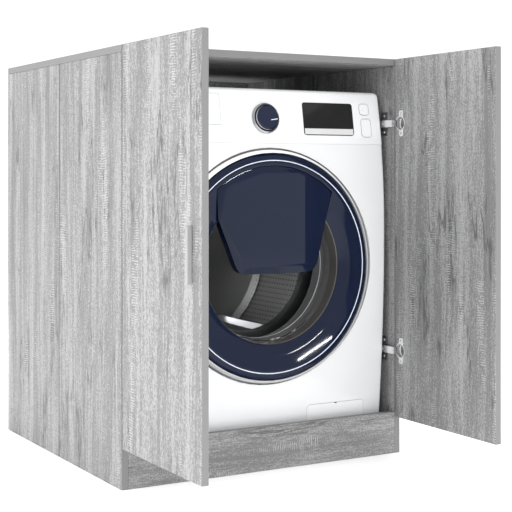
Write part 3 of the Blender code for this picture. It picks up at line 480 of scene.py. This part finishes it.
def show(name, bm, mat, body, angle=35):
    """A new visible piece from a bmesh, riding on a body."""
    bmesh.ops.remove_doubles(bm, verts=bm.verts, dist=1e-6)
    bmesh.ops.recalc_face_normals(bm, faces=bm.faces)
    mesh = bpy.data.meshes.new(name)
    bm.to_mesh(mesh)
    bm.free()
    ob = bpy.data.objects.new(name, mesh)
    SCENE.collection.objects.link(ob)
    mesh.materials.append(mat)
    mesh.polygons.foreach_set("use_smooth", [True] * len(mesh.polygons))
    ob.modifiers.new("sharp edges", "EDGE_SPLIT").split_angle = math.radians(angle)
    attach(ob, body)
    return ob


X_AXIS, Y_AXIS, Z_AXIS = Vector((1, 0, 0)), Vector((0, 1, 0)), Vector((0, 0, 1))


def lathe(bm, profile, centre, steps=96, axes=(X_AXIS, Z_AXIS, Y_AXIS)):
    """Turn a closed outline of (radius, height) about the last of three axes through a centre."""
    across, up, out = axes
    rings = []
    for i in range(steps):
        angle = 2 * math.pi * i / steps
        spoke = across * math.cos(angle) + up * math.sin(angle)
        rings.append([bm.verts.new(centre + spoke * r + out * h) for r, h in profile])
    count = len(profile)
    for i, ring in enumerate(rings):
        following = rings[(i + 1) % steps]
        for j in range(count):
            k = (j + 1) % count
            if profile[j][0] < 1e-9 and profile[k][0] < 1e-9:
                continue
            corners = (ring[j], ring[k], following[k], following[j])
            if profile[j][0] < 1e-9:
                corners = (ring[j], ring[k], following[k])
            elif profile[k][0] < 1e-9:
                corners = (ring[j], ring[k], following[j])
            bm.faces.new(corners)


def round_section(radius, height, wire, points=10):
    """Outline of a wire ring."""
    angles = [2 * math.pi * i / points for i in range(points)]
    return [(radius + wire * math.cos(a), height + wire * math.sin(a)) for a in angles]


DOOR_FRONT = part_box("loading_door_frame")[0].y
trim_low, trim_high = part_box("loading_door_trim")
RING = Vector(((trim_low.x + trim_high.x) / 2, DOOR_FRONT, (trim_low.z + trim_high.z) / 2))
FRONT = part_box("side_left_front")[0].y

# the bright trim, a bead that falls away outwards
frame_low, frame_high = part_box("loading_door_frame")
TRIM_IN = (frame_high.x - frame_low.x) / 2 + 0.0003
TRIM_OUT = (trim_high.x - trim_low.x) / 2
trim_front = trim_low.y - DOOR_FRONT
trim_back = trim_high.y - DOOR_FRONT
# its section, as shares of the trim's width and depth
BEAD_SLOPE = ((0.0, 0.0), (0.22, 0.02), (0.45, 0.10), (0.68, 0.24), (0.86, 0.46), (1.0, 0.80))
BEAD = BEAD_SLOPE + ((1.0, 1.0), (0.0, 1.0))
bead = [(TRIM_IN + (TRIM_OUT - TRIM_IN) * a, trim_front + (trim_back - trim_front) * b) for a, b in BEAD]
bm = bmesh.new()
lathe(bm, bead, RING, steps=128)
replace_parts(show("door_trim_bead", bm, trim_silver.mat, "loading_door", 50), "loading_door_trim")

SILVER_LINE = (0.2340, 0.0003, 0.0011)  # ring radius, depth behind the door's front, and wire radius
# ring radius, depth and wire radius of a thin ring on the bowl, painted white as the glass shoulder's
# highlight
BOWL_HIGHLIGHT_RING = (0.1640, 0.0690, 0.0007)
LINER = ((0.1717, 0.0100), (0.1700, 0.0112), (0.1692, 0.0385), (0.1717, 0.0385))
silver = moulded("silver line", (0.84, 0.88, 0.98), 0.30, metallic=0.1, speckle=0.02, bump=0.01)
bm = bmesh.new()
lathe(bm, round_section(*SILVER_LINE), RING, steps=128)
show("loading_door_silver_line", bm, silver.mat, "loading_door")

smoke = moulded("smoked liner", (0.080, 0.075, 0.070), 0.12, speckle=0.15, bump=0.01)
bm = bmesh.new()
lathe(bm, LINER, RING)
show("loading_door_liner", bm, smoke.mat, "loading_door")

# painted highlight: a near white ring standing in for the light caught on the bowl's shoulder
highlight_ring_look = moulded("bright rim", (0.90, 0.90, 0.91), 0.25, speckle=0.03)
bm = bmesh.new()
lathe(bm, round_section(*BOWL_HIGHLIGHT_RING, points=8), RING)
show("bowl_highlight_ring", bm, highlight_ring_look.mat, "loading_door")

# programme knob's marker, in the tilted plane of its face
joints = {joint["name"]: joint for joint in frame["joints"]}
knob = joints["program_knob_turn"]
KNOB_OUT = Vector(knob["axis"]).normalized()
KNOB_ACROSS = X_AXIS
KNOB_UP = KNOB_OUT.cross(KNOB_ACROSS).normalized() * -1
if KNOB_UP.z < 0:
    KNOB_UP = -KNOB_UP
KNOB_AT = Vector(knob["pos_m"])


def slab(bm, corners, low, high, place):
    """A thin plate over a closed outline, between two heights. place turns (a, b, height) into a point."""
    rings = [[bm.verts.new(place(a, b, h)) for a, b in corners] for h in (low, high)]
    for i in range(len(corners)):
        j = (i + 1) % len(corners)
        bm.faces.new((rings[0][i], rings[0][j], rings[1][j], rings[1][i]))
    bm.faces.new(rings[0][::-1])
    bm.faces.new(rings[1])


def on_knob(a, b, height):
    return KNOB_AT + KNOB_ACROSS * a + KNOB_UP * b + KNOB_OUT * height


def stroke(start, end, width):
    """Corners of a straight bar between two points."""
    along = (Vector(end) - Vector(start)).normalized()
    side = Vector((-along.y, along.x)) * width / 2
    start, end = Vector(start), Vector(end)
    return [tuple(v) for v in (start - side, end - side, end + side, start + side)]


KNOB_FACE = 0.0150  # the knob's flat face above its joint
MARKER = ((0.006, -0.006), (0.0225, -0.0035), 0.0016)  # its two ends and its width
knob_low, knob_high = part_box("program_knob")
KNOB_RADIUS = (knob_high.x - knob_low.x) / 2
knob_look = Look("navy knob with a metal side", Specular_IOR_Level=0.28)
offset = knob_look.vector("SUBTRACT", knob_look.place.outputs["Object"], KNOB_AT)
from_axis = knob_look.length(knob_look.vector("CROSS_PRODUCT", offset, KNOB_OUT))
is_side = knob_look.between(from_axis, KNOB_RADIUS - 0.0012, KNOB_RADIUS - 0.0008)
cloud = knob_look.noise(knob_look.stretched((60, 60, 60)))
knob_look.set("Base Color", knob_look.mix(is_side, (0.006, 0.011, 0.036), (0.40, 0.41, 0.43)))
knob_look.set("Metallic", is_side)
knob_look.set("Roughness", knob_look.math("MULTIPLY_ADD", cloud, 0.10, 0.10))
wear(smooth(nodes["program_knob"]), knob_look.mat)
marker = moulded("white marker", (0.85, 0.86, 0.88), 0.35, speckle=0.02)
bm = bmesh.new()
slab(bm, stroke(*MARKER), KNOB_FACE - 0.0004, KNOB_FACE + 0.0002, on_knob)
show("program_knob_marker", bm, marker.mat, "knob")


def screw(bm, at, out, radius, height):
    """A pan head with a cross recess, standing out from a face."""
    across = out.orthogonal().normalized()
    up = out.cross(across)
    arm, half = radius * 0.62, radius * 0.16
    head = [(0.0, height * 0.55), (half, height * 0.55), (half, height), (radius * 0.55, height)]
    head += [(radius * 0.85, height * 0.75), (radius, height * 0.25), (radius, -0.0002), (0.0, -0.0002)]
    lathe(bm, head, at, 24, (across, up, out))
    for a, b in ((across, up), (up, across)):
        corners = [(-arm, -half), (arm, -half), (arm, half), (-arm, half)]
        slab(bm, corners, height * 0.98, height * 1.02, lambda x, y, h: at + a * x + b * y + out * h)


screw_metal = brushed("screw steel", (0.74, 0.74, 0.75), 0.24, "Y")
# radius and height of the heads
PLATE_SCREW = (0.0036, 0.0018)
ARM_SCREW = (0.0034, 0.0016)
CUP_SCREW = (0.0036, 0.0016)
COVER_SCREW = (0.0042, 0.0022)
# where they stand: out from the wall, back from FRONT, and above or below the hinge's middle
PLATE_FACE, PLATE_SCREW_Y, PLATE_SCREW_Z = 0.0022, 0.037, (-0.019, 0.019)
ARM_FACE, ARM_SCREW_Y = 0.0112, 0.031
CUP_SCREW_Y, CUP_SCREW_Z = -0.0275, (-0.0235, 0.0235)
for side, sign in (("left", 1), ("right", -1)):
    inwards = X_AXIS * sign
    for level in ("lower", "upper"):
        plate_low, plate_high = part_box(f"{side}_{level}_hinge_arm")
        middle = (plate_low.z + plate_high.z) / 2
        wall = plate_low.x if sign > 0 else plate_high.x
        bm = bmesh.new()
        for rise in PLATE_SCREW_Z:
            at = Vector((wall + sign * PLATE_FACE, FRONT + PLATE_SCREW_Y, middle + rise))
            screw(bm, at, inwards, *PLATE_SCREW)
        screw(bm, Vector((wall + sign * ARM_FACE, FRONT + ARM_SCREW_Y, middle)), inwards, *ARM_SCREW)
        show(f"{side}_{level}_plate_screws", bm, screw_metal.mat, "root")
        cup_low, cup_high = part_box(f"{side}_{level}_hinge_cup")
        face = (cup_high.x if sign > 0 else cup_low.x) - sign * 0.0002
        bm = bmesh.new()
        for rise in CUP_SCREW_Z:
            screw(bm, Vector((face, FRONT + CUP_SCREW_Y, middle + rise)), inwards, *CUP_SCREW)
        show(f"{side}_{level}_cup_screws", bm, screw_metal.mat, f"{side}_door")

# the machine's back: a service cover with its screws, vents, and caps over the transit bolt holes
back_low, back_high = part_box("washer_back")
BACK_X = (back_low.x + back_high.x) / 2
BACK_Z = (back_low.z + back_high.z) / 2
pressed = moulded("pressed cover", (0.66, 0.67, 0.68), 0.32, speckle=0.02, bump=0.02)
caps = moulded("grey cap", (0.30, 0.31, 0.33), 0.50, speckle=0.06, bump=0.05)


def on_back(a, b, height):
    return Vector((BACK_X + a, back_high.y + height, BACK_Z + b))


def rounded(half_x, half_z, radius, centre=(0.0, 0.0), steps=6):
    """Corners of a rounded rectangle."""
    corners = []
    for quarter, (sx, sz) in enumerate(((1, 1), (-1, 1), (-1, -1), (1, -1))):
        for i in range(steps + 1):
            angle = math.pi / 2 * (quarter + i / steps)
            x = centre[0] + sx * (half_x - radius) + radius * math.cos(angle)
            corners.append((x, centre[1] + sz * (half_z - radius) + radius * math.sin(angle)))
    return corners


COVER = (0.185, 0.200, 0.060)  # half width, half height and corner radius
RAISED = (0.150, 0.165, 0.050)
COVER_DROP = 0.03  # the cover's middle below the panel's
COVER_MARGIN = 0.010  # from its edge to its screws
CAPS_AT = ((-0.235, 0.17), (0.235, 0.17), (-0.235, -0.20), (0.235, -0.20))
CAP = ((0.0, 0.0035), (0.010, 0.0035), (0.0130, 0.0015), (0.0130, -0.0002), (0.0, -0.0002))
VENT = (0.035, 0.0028, 0.0027)
VENTS_AT = (0.14, 0.245)
VENT_PITCH = 0.011
bm = bmesh.new()
slab(bm, rounded(*COVER, (0.0, -COVER_DROP)), -0.0002, 0.0012, on_back)
slab(bm, rounded(*RAISED, (0.0, -COVER_DROP)), 0.0010, 0.0030, on_back)
show("back_service_cover", bm, pressed.mat, "root")
bm = bmesh.new()
for a, b in ((-1, 0.8), (0, 1), (1, 0.8), (-1, -0.8), (0, -1), (1, -0.8), (-1, 0), (1, 0)):
    across, rise = a * (COVER[0] - COVER_MARGIN), b * (COVER[1] - COVER_MARGIN) - COVER_DROP
    screw(bm, on_back(across, rise, 0.0012), Y_AXIS, *COVER_SCREW)
show("back_cover_screws", bm, screw_metal.mat, "root")
bm = bmesh.new()
for a, b in CAPS_AT:
    lathe(bm, CAP, on_back(a, b, 0.0), 24)
show("transit_bolt_caps", bm, caps.mat, "root")
bm = bmesh.new()
for row in range(6):
    slot_at = (VENTS_AT[0], VENTS_AT[1] + VENT_PITCH * row)
    slab(bm, rounded(*VENT, slot_at, 3), -0.0002, 0.0012, on_back)
show("back_vents", bm, caps.mat, "root")

# thin grey outlines round the two keys
outline = moulded("grey outline", (0.42, 0.43, 0.45), 0.40, speckle=0.04)
WASHER_FRONT = 0.010  # the fullest point of the machine's bowed front, behind FRONT
BOW_Z = 0.530
BOW_RADIUS = 1.5
KEY_CLEAR = 0.0006  # from a key to its outline
OUTLINE_WIDTH = 0.0008
OUTLINE_PROUD = 0.0002


def key_ring(bm, node):
    """A flat band round a key's outline, just outside it, standing a little proud of the fascia."""
    low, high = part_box(node)
    middle, half = (low + high) / 2, (high - low) / 2
    radius = min(half.x, half.z) * 0.55
    verts = {}
    for r, grow in enumerate((KEY_CLEAR, KEY_CLEAR + OUTLINE_WIDTH)):
        ring = rounded(half.x + grow, half.z + grow, radius + grow, (middle.x, middle.z))
        count = len(ring)
        for i, (x, z) in enumerate(ring):
            face = FRONT + WASHER_FRONT + (z - BOW_Z) ** 2 / (2 * BOW_RADIUS)
            for side, y in enumerate((face - OUTLINE_PROUD, face + 0.0004)):
                verts[r, i, side] = bm.verts.new((x, y, z))
    for i in range(count):
        j = (i + 1) % count
        for a, b in (((0, 0), (1, 0)), ((1, 0), (1, 1)), ((1, 1), (0, 1)), ((0, 1), (0, 0))):
            corners = (verts[a[0], i, a[1]], verts[a[0], j, a[1]], verts[b[0], j, b[1]], verts[b[0], i, b[1]])
            bm.faces.new(corners)


for node in ("upper_button", "lower_button"):
    bm = bmesh.new()
    key_ring(bm, node)
    show(f"{node}_outline", bm, outline.mat, "root")

# display: dark glass above a silver strip
STRIP_Z = (0.0019, 0.01515)  # the strip's lower and upper edges above the window's
STRIP_IN = 0.0022  # its ends inside the window's
display = Look("display glass", Specular_IOR_Level=0.3)
low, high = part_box("display_window")
height, across = display.axis("Z"), display.axis("X")
strip = display.between(height, low.z + STRIP_Z[1] + 0.00035, low.z + STRIP_Z[1] - 0.00035)
for way, edge, soft in (
    (height, low.z + STRIP_Z[0], 0.0003),
    (across, low.x + STRIP_IN, 0.0004),
    (across, high.x - STRIP_IN, -0.0004),
):
    strip = display.math("MULTIPLY", strip, display.between(way, edge - soft, edge + soft))
cloud = display.noise(display.stretched((30, 30, 30)))
glassy, silvery = display.mix(cloud, 0.010, 0.016), display.mix(cloud, 0.62, 0.70)
display.set("Base Color", display.mix(strip, glassy, silvery))
display.set("Roughness", display.math("MULTIPLY_ADD", strip, 0.18, 0.10))
wear(smooth(nodes["display_window"]), display.mat)

# drawer: white front, grey tray
TRAY_FROM = 0.0570  # the white front ends this far behind FRONT
tray = Look("drawer white front and grey tray", Roughness=0.32)
is_tray = tray.between(tray.axis("Y"), FRONT + TRAY_FROM - 0.0002, FRONT + TRAY_FROM + 0.0002)
cloud = tray.noise(tray.stretched((9, 9, 9)))
front, inner = tray.mix(cloud, (0.82, 0.826, 0.835), WHITE), tray.mix(cloud, 0.28, 0.32)
tray.set("Base Color", tray.mix(is_tray, front, inner))
tray.bump(tray.noise(tray.stretched((900, 900, 900))), 0.03, 0.0003)
wear(smooth(nodes["detergent_drawer"]), tray.mat)

# ---- floor and lamps ----

FLOOR = 6.0  # half of its side
mesh = bpy.data.meshes.new("floor")
corners = ((-FLOOR, -FLOOR), (FLOOR, -FLOOR), (FLOOR, FLOOR), (-FLOOR, FLOOR))
mesh.from_pydata([(x, y, -0.0005) for x, y in corners], [], [(0, 1, 2, 3)])
floor = bpy.data.objects.new("floor", mesh)
SCENE.collection.objects.link(floor)
pale = Look("pale floor", Roughness=0.85)
pale.set("Base Color", pale.mix(pale.noise(pale.stretched((3, 3, 3))), 0.93, 0.95))
mesh.materials.append(pale.mat)

machine_nodes = " ".join(DRESS.values()) + " program_knob display_window detergent_drawer loading_door_glass"
trimmings = ("loading_door_silver_line", "loading_door_liner", "bowl_highlight_ring", "program_knob_marker")
members = [nodes[name] for name in machine_nodes.split()] + [bpy.data.objects[name] for name in trimmings]
machine = group("machine", members)
stage_only = group("stage_only", (floor,))

# powers in watts
KEY_LAMP = 50
FLOOR_WASH = 420
MACHINE_FILL = 17
TRIM_LAMP = 20
DRUM_LAMP = 0.22
STROKE_GLINT = 0.070
FLAP_EDGE = 22.0
FLAP_SHEEN = 0.10
PADDLE_SHINE = 0.014
softbox("key", (-4.2, -0.9, 1.9), (-0.35, 0.0, 0.45), (2.4, 2.0), KEY_LAMP)
softbox("floor wash", (0.0, -0.5, 5.0), (0.0, 0.0, 0.0), (6.0, 6.0), FLOOR_WASH, only=stage_only)
softbox("machine fill", (-0.6, -2.8, 1.2), (0.0, -0.1, 0.45), (1.6, 1.6), MACHINE_FILL, only=machine)

# light inside the drum, and reflections on the doors' gloss
inside = group("inside", (nodes["drum"], nodes["door_gasket"], bpy.data.objects["loading_door_liner"]))
trim_only = group("trim_only", (bpy.data.objects["door_trim_bead"],))
softbox("trim lamp", (-0.50, -0.85, 1.45), RING, (0.3, 0.3), TRIM_LAMP, trim_only)
lamp_at = (RING.x - 0.06, -0.06, RING.z + 0.08)
towards = (RING.x + 0.09, 0.12, RING.z - 0.16)
softbox("drum lamp", lamp_at, towards, (0.16, 0.16), DRUM_LAMP, inside).visible_glossy = True
ring_only = group("ring_only", (nodes["loading_door_frame"],))
flap_only = group("flap_only", (nodes["add_flap"],))


def on_door(x, z, depth):
    return Vector((RING.x + x, FRONT + depth, RING.z + z))


def tilted(x, z, rise):
    """Normal of a ring's face at a place on it, where the face rises outwards by this much for each metre."""
    return Vector((-rise * x / math.hypot(x, z), -1, -rise * z / math.hypot(x, z)))


# name, the two ends as x and z about the ring's middle, and the slope of its face there
for name, ends, rise in (
    ("inner_stroke", ((0.050, -0.194), (0.128, -0.145)), 0.175),
    ("outer_stroke", ((0.062, -0.211), (0.151, -0.164)), 0.140),
):
    pairs = [(on_door(x, z, 0.0065), tilted(x, z, rise)) for x, z in ends]
    glint(name, pairs, 0.0016, STROKE_GLINT, ring_only)
pairs = [(on_door(x, z, 0.003), tilted(x, z, -0.80)) for x, z in ((-0.134, 0.178), (-0.062, 0.207))]
glint("flap_edge", pairs, 0.20, FLAP_EDGE, flap_only)
pairs = [(on_door(x, 0.105, 0.0), -Y_AXIS) for x in (-0.140, 0.080)]
glint("flap_sheen", pairs, 0.24, FLAP_SHEEN, flap_only)
paddle_at = Vector((DRUM_AT[0] + 0.095, FRONT, DRUM_AT[1] - 0.1645))
pairs = [(paddle_at + Vector((0, depth, 0)), Vector((-0.5, 0.0, 0.866))) for depth in (0.20, 0.40)]
glint("paddle_shine", pairs, 0.02, PADDLE_SHINE, inside, 0.14)
